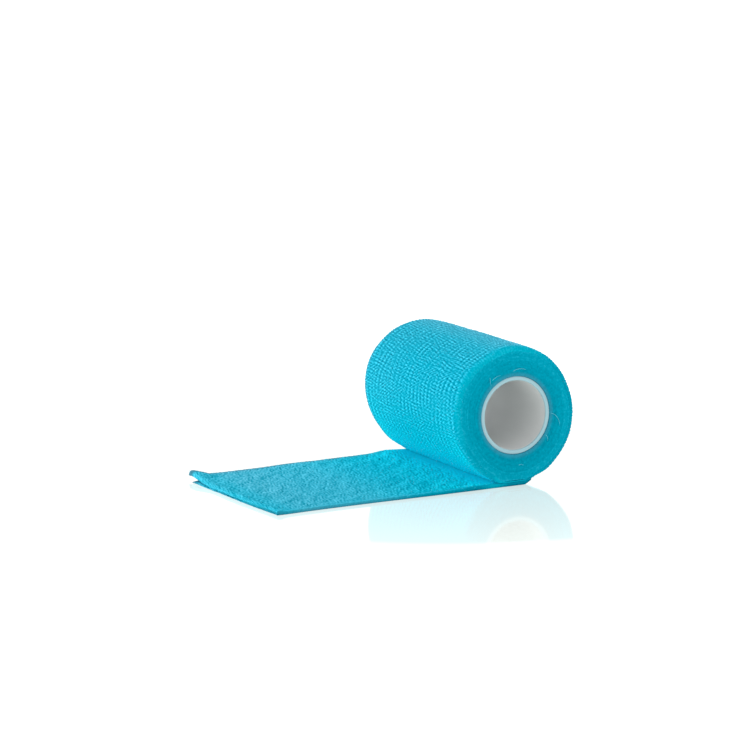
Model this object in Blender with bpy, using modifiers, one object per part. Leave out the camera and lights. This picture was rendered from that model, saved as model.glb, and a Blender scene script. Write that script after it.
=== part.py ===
"""Cohesive bandage roll lying on its side: one strip of crepe bandage wound on a plastic core,
with its loose end run out flat on the table.

Metres, +Z up. The roll's axis runs along Y and the loose end lies towards -X. The origin is on the
table, under the axis and midway across the strip.
"""

import math

import bmesh
import bpy

MM = 0.001

# The strip of bandage and the height at which its roll is centred
STRIP_WIDTH = 75 * MM
CLOTH_THICKNESS = 1.3 * MM
AXIS_HEIGHT = 25.5 * MM

# The outer turn at an angle counted from straight down and turning through +X. The roll is a
# little oval and sags on its flat spot, and the last row meets the top of the loose end again.
OUTER_TURN = (  # angle in degrees, radius in mm
    (-16, 26.8),
    (4, 26.0),
    (9, 24.9),
    (20, 23.9),
    (45, 23.3),
    (85, 23.1),
    (115, 23.5),
    (150, 24.4),
    (180, 24.8),
    (205, 24.6),
    (240, 24.2),
    (265, 23.4),
    (285, 22.9),
    (305, 22.9),
    (322, 23.5),
    (336, 24.4),
    (344, 25.2),
)
TURN_POINTS = 64

# The soft rim round each end of the roll, left out where the turn lies on the table
RIM_RADIUS = 1.2 * MM
RIM_STARTS_AT = 6  # degrees from straight down
RIM_FULL_AT = 26

# Rings of the roll's end faces, and how far the cloth stands out of the face there
END_FACE = (  # share of the way from the bore to the outer turn, rise in mm
    (0.4, 0.25),
    (0.8, 0.1),
)

# The loose end: how far each edge draws in, and how far the far edge lifts off the table
LOOSE_END_LENGTH = 94.2 * MM
LOOSE_END = (  # distance from the axis, near edge in, far edge in, far edge up, all in mm
    (7, 0.0, 0.0, 0.0),
    (12, 0.0, 1.0, 0.5),
    (17, 0.0, 2.0, 0.9),
    (23, 0.0, 2.8, 0.2),
    (29, 0.0, 3.3, 0.0),
    (40, 0.4, 4.0, 0.0),
    (55, 0.8, 5.0, 0.0),
    (70, 1.0, 5.9, 0.0),
    (83, 1.3, 6.6, 0.1),
    (90, 1.5, 5.0, 1.0),
    (94, 1.8, 3.6, 1.7),
)
LIFTED_SHARE = 0.3  # of the width, in from the far edge
EDGE_THINNING = 0.3 * MM
CUT_SKEW = 3.4 * MM  # how much longer the loose end is at its far edge

# The cut edge draws up into a thick lip that leans out, most at the far corner
LIP_NEAR_HEIGHT = 0.6 * MM
LIP_FAR_HEIGHT = 1.4 * MM
LIP_LEAN = 0.9 * MM
LIP = (  # distance from the cut in mm, share of the lip's height
    (0, 0.55),
    (0.7, 1.0),
    (1.8, 1.0),
    (3.0, 0.65),
    (4.6, 0.15),
    (7, 0.0),
)

# Where the cloth is divided: across from each edge of the strip, and along the loose end
ACROSS = [step * MM for step in (0, 0.4, 1.2, 3, 7.5, 13, 19, 25, 31, 37.5)]
ALONG = [step * MM for step in (10, 14, 18, 22, 27, 33, 40, 48, 56, 64, 72, 79, 84)]

# The plastic core, a little shorter than the strip is wide
CORE_OUTER_RADIUS = 13.9 * MM
CORE_WALL = 1.55 * MM
CORE_LENGTH = 74.6 * MM
CORE_EDGE = 0.3 * MM
CORE_STEPS = 64
FIT_GAP = 0.3 * MM

BANDAGE_COLOUR = (0.018, 0.42, 0.60, 1.0)
CORE_COLOUR = (0.78, 0.79, 0.78, 1.0)


def clear_scene():
    for old in list(bpy.data.objects):
        bpy.data.objects.remove(old, do_unlink=True)


def make_material(name, colour, roughness):
    material = bpy.data.materials.new(name)
    material.use_nodes = True
    shader = material.node_tree.nodes["Principled BSDF"]
    shader.inputs["Base Color"].default_value = colour
    shader.inputs["Roughness"].default_value = roughness
    shader.inputs["Metallic"].default_value = 0.0
    return material


def ease(share):
    """0 to 1, starting and stopping gently."""
    share = min(max(share, 0.0), 1.0)
    return share * share * (3 - 2 * share)


def slope(table, row, column):
    """How fast a column changes at a row, from the rows beside it."""
    low, high = max(row - 1, 0), min(row + 1, len(table) - 1)
    return (table[high][column] - table[low][column]) / (table[high][0] - table[low][0])


def table_at(table, place, column=1):
    """A column where the first column has this value, on a smooth curve through the rows."""
    place = min(max(place, table[0][0]), table[-1][0])
    row = max(i for i in range(len(table) - 1) if table[i][0] <= place)
    span = table[row + 1][0] - table[row][0]
    share = (place - table[row][0]) / span
    rise = table[row + 1][column] - table[row][column]
    leave = slope(table, row, column) * span - rise
    arrive = rise - slope(table, row + 1, column) * span
    bend = share * (1 - share) * (leave * (1 - share) + arrive * share)
    return table[row][column] + share * rise + bend


def rim_pull(inset):
    """How far the rim's curve has come in at a distance from the end of the roll."""
    depth = max(RIM_RADIUS - inset, 0.0)
    return RIM_RADIUS - math.sqrt(RIM_RADIUS**2 - depth**2)


def outer_turn(place):
    """Points of the outer turn at a place across the width, round to the top of the loose end."""
    pull = rim_pull(STRIP_WIDTH / 2 - abs(place))
    first, last = OUTER_TURN[0][0], OUTER_TURN[-1][0]
    points = []
    for index in range(TURN_POINTS):
        degrees = first + (last - first) * index / (TURN_POINTS - 1)
        off_table = min(abs(degrees), 360 - degrees)
        rim = ease((off_table - RIM_STARTS_AT) / (RIM_FULL_AT - RIM_STARTS_AT))
        radius = table_at(OUTER_TURN, degrees) * MM - rim * pull
        angle = math.radians(degrees)
        height = AXIS_HEIGHT - radius * math.cos(angle)
        points.append((radius * math.sin(angle), place, max(height, 0.0)))
    return points


def bore(place):
    """Points of the bore that the core sits in, one for each point of the outer turn."""
    radius = CORE_OUTER_RADIUS + FIT_GAP
    points = []
    for index in range(TURN_POINTS):
        angle = math.radians(OUTER_TURN[0][0] + 360 * index / TURN_POINTS)
        points.append((radius * math.sin(angle), place, AXIS_HEIGHT - radius * math.cos(angle)))
    return points


def loose_end(place):
    """Points of the loose end at a place across the width: its top out to the cut, and back below."""
    share = place / STRIP_WIDTH + 0.5
    cut = LOOSE_END_LENGTH + CUT_SKEW * (1 - (1 - share) ** 2)
    lip_height = LIP_NEAR_HEIGHT + share * (LIP_FAR_HEIGHT - LIP_NEAR_HEIGHT)
    thickness = CLOTH_THICKNESS
    if STRIP_WIDTH / 2 - abs(place) < EDGE_THINNING:
        thickness -= EDGE_THINNING
    lifted = ease((share - 1 + LIFTED_SHARE) / LIFTED_SHARE)
    stations = ALONG + [cut - row[0] * MM for row in reversed(LIP)]
    top, underside = [], []
    for out in stations:
        near_in, far_in, far_up = (table_at(LOOSE_END, out / MM, column) * MM for column in (1, 2, 3))
        across = place + (1 - share) * near_in - share * far_in
        lip = table_at(LIP, (cut - out) / MM)
        height = max(far_up, 0.0) * lifted
        leaning = max(1 - (cut - out) / CLOTH_THICKNESS, 0.0)
        lean = LIP_LEAN * share * leaning
        top.append((-out - lean, across, height + thickness + lip_height * lip))
        underside.append((-out, across, height))
    return top + underside[::-1]


def join_loops(mesh, first, second):
    """A band of faces between two closed loops with the same number of points."""
    for index in range(len(first)):
        mesh.faces.new((first[index - 1], first[index], second[index], second[index - 1]))


def close_end(mesh, place, bore_loop, outline):
    """The roll's end face, in rings that stand out a little, and the edge of the loose end."""
    turn, end = outline[:TURN_POINTS], outline[TURN_POINTS:]
    loop = bore_loop
    for share, rise in END_FACE:
        ring = []
        for inner, outer in zip(bore_loop, turn):
            point = inner.co.lerp(outer.co, share)
            point.y += math.copysign(rise * MM, place)
            ring.append(mesh.verts.new(point))
        join_loops(mesh, loop, ring)
        loop = ring
    join_loops(mesh, loop, turn)
    above = [turn[-1]] + end[: len(end) // 2]
    below = [turn[0]] + end[len(end) // 2 :][::-1]
    for index in range(1, len(above)):
        mesh.faces.new((above[index - 1], above[index], below[index], below[index - 1]))


def make_bandage(collection):
    """The wound roll and its loose end: one strip, so one body, drawn across its width."""
    mesh = bmesh.new()
    half = STRIP_WIDTH / 2
    places = sorted({inset - half for inset in ACROSS} | {half - inset for inset in ACROSS})
    outlines, bores = [], []
    for place in places:
        outlines.append([mesh.verts.new(point) for point in outer_turn(place) + loose_end(place)])
        bores.append([mesh.verts.new(point) for point in bore(place)])
    for index in range(1, len(places)):
        join_loops(mesh, outlines[index - 1], outlines[index])
        join_loops(mesh, bores[index - 1], bores[index])
    close_end(mesh, places[0], bores[0], outlines[0])
    close_end(mesh, places[-1], bores[-1], outlines[-1])
    bmesh.ops.recalc_face_normals(mesh, faces=mesh.faces)
    data = bpy.data.meshes.new("bandage")
    mesh.to_mesh(data)
    mesh.free()
    data.shade_smooth()
    data.set_sharp_from_angle(angle=math.radians(50))
    data.materials.append(make_material("crepe bandage", BANDAGE_COLOUR, 0.75))
    collection.objects.link(bpy.data.objects.new("bandage", data))


def make_core(collection):
    """The plastic tube, turned from the section of its wall."""
    half, outer = CORE_LENGTH / 2, CORE_OUTER_RADIUS
    inner = outer - CORE_WALL
    section = (  # radius and height, down the outside and up the bore
        (outer - CORE_EDGE, half),
        (outer, half - CORE_EDGE),
        (outer, CORE_EDGE - half),
        (outer - CORE_EDGE, -half),
        (inner + CORE_EDGE, -half),
        (inner, CORE_EDGE - half),
        (inner, half - CORE_EDGE),
        (inner + CORE_EDGE, half),
    )
    data = bpy.data.meshes.new("core_tube")
    count = len(section)
    edges = [(index, (index + 1) % count) for index in range(count)]
    data.from_pydata([(radius, 0.0, height) for radius, height in section], edges, [])
    data.materials.append(make_material("core plastic", CORE_COLOUR, 0.35))
    core = bpy.data.objects.new("core_tube", data)
    core.location = (0.0, 0.0, AXIS_HEIGHT)
    core.rotation_euler = (math.radians(90), 0.0, 0.0)
    collection.objects.link(core)
    turned = core.modifiers.new("turned", "SCREW")
    turned.steps = CORE_STEPS
    turned.render_steps = CORE_STEPS
    turned.use_merge_vertices = True
    turned.merge_threshold = 0.01 * MM
    turned.use_smooth_shade = False


def main():
    clear_scene()
    collection = bpy.data.collections.new("cohesive bandage roll")
    bpy.context.scene.collection.children.link(collection)
    make_bandage(collection)
    make_core(collection)


main()
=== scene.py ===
import math

import bmesh
import bpy
import numpy as np
from mathutils import Matrix, Vector


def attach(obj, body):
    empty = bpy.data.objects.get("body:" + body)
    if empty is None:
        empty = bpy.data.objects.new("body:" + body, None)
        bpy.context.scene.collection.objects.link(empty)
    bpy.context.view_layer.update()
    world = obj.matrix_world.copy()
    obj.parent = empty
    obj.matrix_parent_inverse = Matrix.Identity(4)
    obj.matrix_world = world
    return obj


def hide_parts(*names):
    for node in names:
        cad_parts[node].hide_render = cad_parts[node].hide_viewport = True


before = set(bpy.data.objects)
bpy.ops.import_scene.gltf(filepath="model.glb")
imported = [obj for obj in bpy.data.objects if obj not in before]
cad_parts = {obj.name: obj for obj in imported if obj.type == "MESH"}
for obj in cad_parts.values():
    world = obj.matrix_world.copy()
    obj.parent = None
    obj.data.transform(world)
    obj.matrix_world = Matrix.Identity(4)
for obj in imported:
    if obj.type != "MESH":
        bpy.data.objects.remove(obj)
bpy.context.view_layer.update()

# Camera: low, a little to the left of the roll's axis and far off with a long lens, as the
# product was photographed. The picture leans by about a degree.
MM = 0.001
CAMERA_TARGET = Vector((-36.98, 0.0, 37.8)) * MM
CAMERA_AZIMUTH = math.radians(-26.05)
CAMERA_ELEVATION = math.radians(10.33)
CAMERA_LEAN = math.radians(-1.15)
CAMERA_DISTANCE = 1.3
CAMERA_LENS = 171.9  # mm
SENSOR_WIDTH = 36  # mm
CAMERA_SEES = 20  # m, to the far side of the floor

back = Vector(
    (
        math.sin(CAMERA_AZIMUTH) * math.cos(CAMERA_ELEVATION),
        -math.cos(CAMERA_AZIMUTH) * math.cos(CAMERA_ELEVATION),
        math.sin(CAMERA_ELEVATION),
    )
)
right = Vector((math.cos(CAMERA_AZIMUTH), math.sin(CAMERA_AZIMUTH), 0.0))
upright = Matrix((right, back.cross(right), back)).transposed()
camera = bpy.data.objects.new("camera", bpy.data.cameras.new("camera"))
camera.data.lens = CAMERA_LENS
camera.data.sensor_width = SENSOR_WIDTH
camera.data.clip_end = CAMERA_SEES
turned = (upright @ Matrix.Rotation(CAMERA_LEAN, 3, "Z")).to_4x4()
camera.matrix_world = Matrix.Translation(CAMERA_TARGET + back * CAMERA_DISTANCE) @ turned
bpy.context.scene.collection.objects.link(camera)
bpy.context.scene.camera = camera


# Floor and light: white acrylic lit from below, polished round the roll so that it mirrors the
# foot of it, under a white dome with three soft lights. All of it is stage, not the roll's.
FLOOR_SIZE = 12.0
FLOOR_DROP = 0.02 * MM  # so that it never cuts into what lies on it
FLOOR_GLOW = 1.38
FLOOR_COLOUR = (1.0, 1.07, 1.03, 1.0)
FLOOR_POLISH = 0.68
FLOOR_BLUR = 0.07
POLISH_REACH = 0.2  # m from the middle of the roll's foot
POLISH = (  # share of that reach, share of the polish
    (0.0, 1.0), (0.22, 1.0), (0.35, 0.93), (0.5, 0.84), (0.61, 0.76), (0.68, 0.0),
)
SOFT_LIGHTS = (  # direction it comes from, distance in m, width in m, watts
    ((-0.95, 0.22, 0.22), 1.1, 0.7, 6.2),
    ((-0.25, 0.45, 1.00), 1.2, 0.9, 2.2),
    ((0.90, -0.35, 0.35), 1.4, 0.7, 2.4),
)

bpy.ops.object.select_all(action="DESELECT")
bpy.ops.mesh.primitive_plane_add(size=FLOOR_SIZE, location=(0, 0, -FLOOR_DROP))
floor = bpy.context.object
floor.name = "floor"
acrylic = bpy.data.materials.new("white acrylic")
acrylic.use_nodes = True
nodes, links = acrylic.node_tree.nodes, acrylic.node_tree.links
nodes.remove(nodes["Principled BSDF"])
glow = nodes.new("ShaderNodeEmission")
glow.inputs["Color"].default_value = FLOOR_COLOUR
glow.inputs["Strength"].default_value = FLOOR_GLOW
gloss = nodes.new("ShaderNodeBsdfGlossy")
gloss.inputs["Roughness"].default_value = FLOOR_BLUR
place = nodes.new("ShaderNodeTexCoord")
from_foot = nodes.new("ShaderNodeVectorMath")
from_foot.operation = "LENGTH"
links.new(place.outputs["Object"], from_foot.inputs[0])
reach = nodes.new("ShaderNodeMath")
reach.operation = "DIVIDE"
reach.inputs[1].default_value = POLISH_REACH
links.new(from_foot.outputs["Value"], reach.inputs[0])
polish = nodes.new("ShaderNodeValToRGB")
ramp = polish.color_ramp.elements
ramp[0].color, ramp[1].color = (1, 1, 1, 1), (0, 0, 0, 1)  # polished at the foot, dull far off
for position, share in POLISH[1:]:
    ramp.new(position).color = (share, share, share, 1)
links.new(reach.outputs["Value"], polish.inputs["Fac"])
grazing = nodes.new("ShaderNodeLayerWeight")
grazing.inputs["Blend"].default_value = 0.5
mirror = nodes.new("ShaderNodeMath")
mirror.operation = "MULTIPLY"
mirror.inputs[1].default_value = FLOOR_POLISH
links.new(grazing.outputs["Facing"], mirror.inputs[0])
amount = nodes.new("ShaderNodeMath")
amount.operation = "MULTIPLY"
links.new(mirror.outputs["Value"], amount.inputs[0])
links.new(polish.outputs["Color"], amount.inputs[1])
both = nodes.new("ShaderNodeMixShader")
links.new(amount.outputs["Value"], both.inputs["Fac"])
links.new(glow.outputs["Emission"], both.inputs[1])
links.new(gloss.outputs["BSDF"], both.inputs[2])
links.new(both.outputs["Shader"], nodes["Material Output"].inputs["Surface"])
floor.data.materials.append(acrylic)

for number, (direction, distance, width, watts) in enumerate(SOFT_LIGHTS, 1):
    light = bpy.data.lights.new(f"soft light {number}", "AREA")
    light.size = width
    light.energy = watts
    lamp = bpy.data.objects.new(light.name, light)
    lamp.location = Vector(direction).normalized() * distance
    lamp.rotation_euler = Vector(direction).to_track_quat("Z", "Y").to_euler()
    bpy.context.scene.collection.objects.link(lamp)

dome = bpy.data.worlds.new("white dome")
dome.use_nodes = True
dome.node_tree.nodes["Background"].inputs["Color"].default_value = (1, 1, 1, 1)
dome.node_tree.nodes["Background"].inputs["Strength"].default_value = 1.0
bpy.context.scene.world = dome
bpy.context.scene.view_settings.view_transform = "Standard"


# Core: a tube of white polyethylene, cut to length from extruded pipe, so its bore and outside
# are smooth and its cut rims are only softened. The first turn of the strip grips it.
AXIS_HEIGHT = 25.5 * MM
CORE_RADIUS = 13.9 * MM
CORE_WALL = 1.55 * MM
CORE_LENGTH = 74.6 * MM
CORE_RIM = 0.32 * MM
CORE_SIDES = 160
CORE_OVAL = 0.3 * MM  # how much more it measures upwards from its middle than sideways
CORE_LIFT = 0.15 * MM  # of its middle above the axis, as the roll settles round it
CORE_COLOUR = (0.795, 0.81, 0.815, 1.0)
CORE_PAINTED_SHADE = (0.61, 0.62, 0.62, 1.0)  # painted shade, darker towards both ends of the tube
CORE_UNSHADED = 4 * MM  # from the middle, where that painted shade starts
CORE_RIM_CLOTH_LIGHT = (0.285, 0.465, 0.525, 1.0)  # painted light: the cyan of the cloth round it, showing through the rim a little
CORE_RIM_LIGHT_SPAN = (0.7 * MM, 0.2 * MM)  # from its end, where that painted light starts and is full
CORE_CLOUDINESS = 0.25  # share of the mix between the painted shade and the plain colour that drifts at random in soft clouds
DIE_LINES = (900, 12, 900)  # noise drawn out along the tube
DIE_LINE_DEPTH = 0.05 * MM

bpy.ops.object.select_all(action="DESELECT")
bpy.ops.mesh.primitive_cylinder_add(
    vertices=CORE_SIDES,
    radius=CORE_RADIUS,
    depth=CORE_LENGTH,
    end_fill_type="NOTHING",
    location=(0, 0, AXIS_HEIGHT + CORE_LIFT),
    rotation=(math.radians(90), 0, 0),
    scale=(1, 1 + CORE_OVAL / CORE_RADIUS, 1),
)
core = bpy.context.object
core.name = "core"
bpy.ops.object.transform_apply(location=True, rotation=True, scale=True)
wall = core.modifiers.new("wall", "SOLIDIFY")
wall.thickness = CORE_WALL
wall.offset = -1
bpy.ops.object.modifier_apply(modifier="wall")
rim = core.modifiers.new("rim", "BEVEL")
rim.width = CORE_RIM
rim.segments = 4
rim.limit_method = "ANGLE"
rim.angle_limit = math.radians(50)
bpy.ops.object.modifier_apply(modifier="rim")
bpy.ops.object.mode_set(mode="EDIT")
bpy.ops.mesh.select_all(action="SELECT")
bpy.ops.mesh.normals_make_consistent(inside=False)
bpy.ops.object.mode_set(mode="OBJECT")
bpy.ops.object.shade_smooth_by_angle(angle=math.radians(35))

plastic = bpy.data.materials.new("white polyethylene")
plastic.use_nodes = True
nodes, links = plastic.node_tree.nodes, plastic.node_tree.links
surface = nodes["Principled BSDF"]
surface.inputs["Roughness"].default_value = 0.38
surface.inputs["IOR"].default_value = 1.5
place = nodes.new("ShaderNodeTexCoord")
cloudy = nodes.new("ShaderNodeTexNoise")
cloudy.inputs["Scale"].default_value = 90
cloudy.inputs["Detail"].default_value = 3
links.new(place.outputs["Object"], cloudy.inputs["Vector"])
tone = nodes.new("ShaderNodeMix")
tone.data_type = "RGBA"
tone.inputs["A"].default_value = CORE_PAINTED_SHADE
tone.inputs["B"].default_value = CORE_COLOUR
# Painted shade: the tube is darker towards both its ends and lighter in its middle.
apart = nodes.new("ShaderNodeSeparateXYZ")
links.new(place.outputs["Object"], apart.inputs["Vector"])
endways = nodes.new("ShaderNodeMath")
endways.operation = "ABSOLUTE"
links.new(apart.outputs["Y"], endways.inputs[0])
unshaded = nodes.new("ShaderNodeMapRange")
unshaded.inputs["From Min"].default_value = CORE_LENGTH / 2
unshaded.inputs["From Max"].default_value = CORE_UNSHADED
unshaded.inputs["To Max"].default_value = 1 - CORE_CLOUDINESS
links.new(endways.outputs["Value"], unshaded.inputs["Value"])
clouded = nodes.new("ShaderNodeMath")
clouded.operation = "MULTIPLY_ADD"
clouded.inputs[1].default_value = CORE_CLOUDINESS
links.new(cloudy.outputs["Fac"], clouded.inputs[0])
links.new(unshaded.outputs["Result"], clouded.inputs[2])
links.new(clouded.outputs["Value"], tone.inputs["Factor"])
# Painted light: the cloth's cyan on the core's rims.
on_rim = nodes.new("ShaderNodeMapRange")
on_rim.inputs["From Min"].default_value = CORE_LENGTH / 2 - CORE_RIM_LIGHT_SPAN[0]
on_rim.inputs["From Max"].default_value = CORE_LENGTH / 2 - CORE_RIM_LIGHT_SPAN[1]
links.new(endways.outputs["Value"], on_rim.inputs["Value"])
rim_cloth_light = nodes.new("ShaderNodeMix")
rim_cloth_light.data_type = "RGBA"
rim_cloth_light.inputs["B"].default_value = CORE_RIM_CLOTH_LIGHT
links.new(on_rim.outputs["Result"], rim_cloth_light.inputs["Factor"])
links.new(tone.outputs["Result"], rim_cloth_light.inputs["A"])
links.new(rim_cloth_light.outputs["Result"], surface.inputs["Base Color"])
drawn = nodes.new("ShaderNodeMapping")  # faint lines along the tube from the die
drawn.inputs["Scale"].default_value = DIE_LINES
links.new(place.outputs["Object"], drawn.inputs["Vector"])
lines = nodes.new("ShaderNodeTexNoise")
lines.inputs["Scale"].default_value = 1.0
links.new(drawn.outputs["Vector"], lines.inputs["Vector"])
relief = nodes.new("ShaderNodeBump")
relief.inputs["Strength"].default_value = 0.25
relief.inputs["Distance"].default_value = DIE_LINE_DEPTH
links.new(lines.outputs["Fac"], relief.inputs["Height"])
links.new(relief.outputs["Normal"], surface.inputs["Normal"])
core.data.materials.append(plastic)
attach(core, "root")
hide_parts("core_tube")


# Wound turns: some eighteen turns of the strip, pressed into one body round the core. Its ends
# show the edge of every turn, each a little proud of the next or sunk, as the winder left them.
STRIP_WIDTH = 75 * MM
LOOSE_THICKNESS = 1.3 * MM  # of the strip lying loose
WOUND_THICKNESS = 0.7 * MM  # of the last turn, pulled tight on the roll
TIGHTENS = (2, 20)  # degrees past straight down, where it is drawn from loose to tight
TUCK_THINS = (3, 23)  # degrees, where the layer over the start thins as the next turn begins
OUTER_TURN = (  # angle from straight down, turning through +X, in degrees, and radius in mm
    (-16, 26.8), (4, 26.1), (9, 25.55), (12.5, 25.0), (16, 24.65), (20, 24.55), (26, 24.75),
    (32, 24.9), (45, 24.55), (65, 24.45), (85, 24.1), (115, 23.9), (150, 24.6), (180, 25.3),
    (205, 24.9), (240, 24.9), (265, 24.15), (285, 23.5), (305, 23.25), (322, 23.9), (336, 24.4),
    (344, 25.2),
)
CREASE = 344  # degrees, where the last turn comes down on the loose end
RIM_RADIUS = 1.9 * MM
EDGE_RADIUS = 0.45 * MM  # of the strip's edge where it lies flat on the table
RIM_ROLLS = (6, 26)  # degrees off the table, from that flat edge to the whole rim
SLUMP = 0.45 * MM  # how far the top of the roll sinks towards its far end
SLUMP_ACROSS = (20 * MM, 35 * MM)  # from the middle, where it starts and is full
SLUMP_ROUND = (28.6, 6.6)  # degrees from the top, where it starts and is full
TURN_COUNT = 17.5
TURN_GROOVE = 0.02 * MM
TURN_UNEVENNESS = 0.04 * MM
TURN_SEED = 12
STEPS_A_TURN = 150  # of the unevenness along the strip's edge
STRIP_STEPS = 4096  # of it in all
WANDER_STEPS = 60  # over which the edge goes in and out
END_BULGE = ((0.0, 0.0), (0.4, 0.25), (0.8, 0.1), (1.0, 0.0))  # share of the way out, rise in mm
# Painted shade on the end faces: darker towards the core and lighter towards the outside, by share
# of the way out.
END_PAINTED_SHADING = ((0.0, -0.16), (0.1, -0.11), (0.2, -0.08), (0.45, -0.03), (0.75, 0.0), (1.0, 0.03))
CREPE_TONE = 0.44  # of plain wound cloth, from 0 in the hollows to 1 on the crests, as painted shade in the hollows and painted highlight on the crests
SHOULDER_TONE = 0.4
PROUD_LIGHT = 0.015  # painted light: how much lighter a turn that stands proud is
GROOVE_SHADE = 0.035  # painted shade: how much darker the groove between two is
BORE_GREY_SHADE = 0.9  # painted grey shade in the groove by the core, on the turns next to it
GREY_SHADE_ENDS = 0.22  # share of the way out where that painted shade ends
OUTSIDE_STARTS = 0.93  # share of the way out where the end face meets the last turn
OUTSIDE_SUNK = 0.06 * MM
SHOULDER = 1.1 * MM  # in from the end, where the body goes on under the last turn's rim
RIM_CLEARANCE = 0.05 * MM
CLEARANCE = 0.02 * MM  # between layers, and between cloth and table
BORE_RADIUS = 13.93 * MM
ROUND_COUNT = 420
RING_COUNT = 76
FLAT_WAVES = 4  # how much of the flat on the table is left on the turns further in


def ease(share):
    """0 to 1, starting and stopping gently."""
    share = np.clip(share, 0.0, 1.0)
    return share * share * (3 - 2 * share)


def between(places, start, full):
    """0 at the start and 1 where it is full, whichever comes first, with an easy rise."""
    return ease((places - start) / (full - start))


def table_at(table, places, column=1):
    """A column where the first column has these values, on a smooth curve through the rows."""
    rows = np.array(table, float)
    known, values = rows[:, 0], rows[:, column]
    low = np.maximum(np.arange(len(rows)) - 1, 0)
    high = np.minimum(np.arange(len(rows)) + 1, len(rows) - 1)
    slopes = (values[high] - values[low]) / (known[high] - known[low])
    places = np.clip(places, known[0], known[-1])
    row = np.clip(np.searchsorted(known, places, side="right") - 1, 0, len(rows) - 2)
    span = known[row + 1] - known[row]
    share = (places - known[row]) / span
    rise = values[row + 1] - values[row]
    leave = slopes[row] * span - rise
    arrive = rise - slopes[row + 1] * span
    bend = share * (1 - share) * (leave * (1 - share) + arrive * share)
    return values[row] + share * rise + bend


def turn_radius(degrees):
    """Radius of the last turn's outside, flat on the table, and of its start past the crease."""
    beyond = degrees > CREASE
    degrees = np.where(beyond, degrees - 360, degrees)
    down = np.maximum(np.cos(np.radians(degrees)), 0.5)  # the table is met near straight down
    radius = np.minimum(table_at(OUTER_TURN, degrees) * MM, AXIS_HEIGHT / down)
    return np.where(beyond, radius - start_thickness(degrees), radius)


def start_thickness(degrees):
    """Thickness of the strip where it leaves the table and is drawn tight round the roll."""
    tight = between(degrees, *TIGHTENS)
    return WOUND_THICKNESS + (LOOSE_THICKNESS - WOUND_THICKNESS) * (1 - tight)


def tucked_thickness(degrees):
    """Thickness of the layer over the start, which thins to nothing as the next turn begins."""
    return WOUND_THICKNESS * (1 - between(degrees, *TUCK_THINS))


def slumped(degrees, place):
    """How far the top of the roll sinks in towards its far end, at this place across the strip."""
    near_top = between(np.abs(degrees - 180), *SLUMP_ROUND)
    return SLUMP * between(place, *SLUMP_ACROSS) * near_top


def rolled_over(degrees):
    """0 where the strip's edge lies on the table, and 1 where it is rolled over into a rim."""
    return between(np.minimum(np.abs(degrees), np.abs(360 - degrees)), *RIM_ROLLS)


def soft_lumps(seed, shape, lengths):
    """Soft lumps of about these lengths, counted in grid steps, with heights around 0."""
    spectrum = np.fft.fft2(np.random.default_rng(seed).standard_normal(shape))
    along = np.fft.fftfreq(shape[0])[:, None] * lengths[0]
    across = np.fft.fftfreq(shape[1])[None] * lengths[1]
    lumps = np.fft.ifft2(spectrum * np.exp(-5 * (along**2 + across**2))).real
    return (lumps - lumps.mean()) / lumps.std()


def grid_faces(numbers):
    """Four-sided faces between the points of a grid, from the grid of their numbers."""
    corners = (numbers[:-1, :-1], numbers[:-1, 1:], numbers[1:, 1:], numbers[1:, :-1])
    return np.stack(corners, -1).reshape(-1, 4).tolist()


def make_cloth(name, points, faces, **finish):
    """A piece of cloth, faces outwards, that keeps the finish of each point as attributes."""
    data = bpy.data.meshes.new(name)
    data.from_pydata(points.tolist(), [], faces)
    mesh = bmesh.new()
    mesh.from_mesh(data)
    bmesh.ops.recalc_face_normals(mesh, faces=mesh.faces)
    mesh.to_mesh(data)
    mesh.free()
    data.shade_smooth()
    for kind, values in finish.items():
        layer = data.attributes.new(kind, "FLOAT", "POINT")
        layer.data.foreach_set("value", np.asarray(values, np.float32).ravel())
    piece = bpy.data.objects.new(name, data)
    bpy.context.scene.collection.objects.link(piece)
    return piece


def round_axis(radius, degrees, across):
    """Points at this radius and angle round the roll's axis, and this far across the strip."""
    angle = np.radians(degrees)
    places = (radius * np.sin(angle), across, AXIS_HEIGHT - radius * np.cos(angle))
    return np.stack(np.broadcast_arrays(*places), -1)


# Each row runs outwards at one angle: up the end face, then in under the last turn.
degrees = np.arange(ROUND_COUNT)[:, None] * 360 / ROUND_COUNT
degrees = np.where(degrees > CREASE, degrees - 360, degrees)
whole = degrees % 360
under_last = turn_radius(degrees) - start_thickness(degrees) - tucked_thickness(degrees)
inside_rim = turn_radius(degrees) - RIM_RADIUS * rolled_over(degrees) - RIM_CLEARANCE
flat_edge = np.minimum(under_last - CLEARANCE, inside_rim)
waves = np.fft.rfft(flat_edge[:, 0])
waves[FLAT_WAVES:] = 0
even_edge = np.fft.irfft(waves, ROUND_COUNT)[:, None]
down = np.cos(np.radians(whole))
bore = BORE_RADIUS + CORE_OVAL * down**2 - CORE_LIFT * down
share = np.linspace(0, 1, RING_COUNT)[None]
at_outside = between(share, OUTSIDE_STARTS, 1)
turn = share * TURN_COUNT - whole / 360
groove = (1 - np.abs(np.sin(np.pi * turn))) ** 2
wound_length = (np.floor(turn) + whole / 360 + 1) * STEPS_A_TURN
points, crests = [], []
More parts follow.
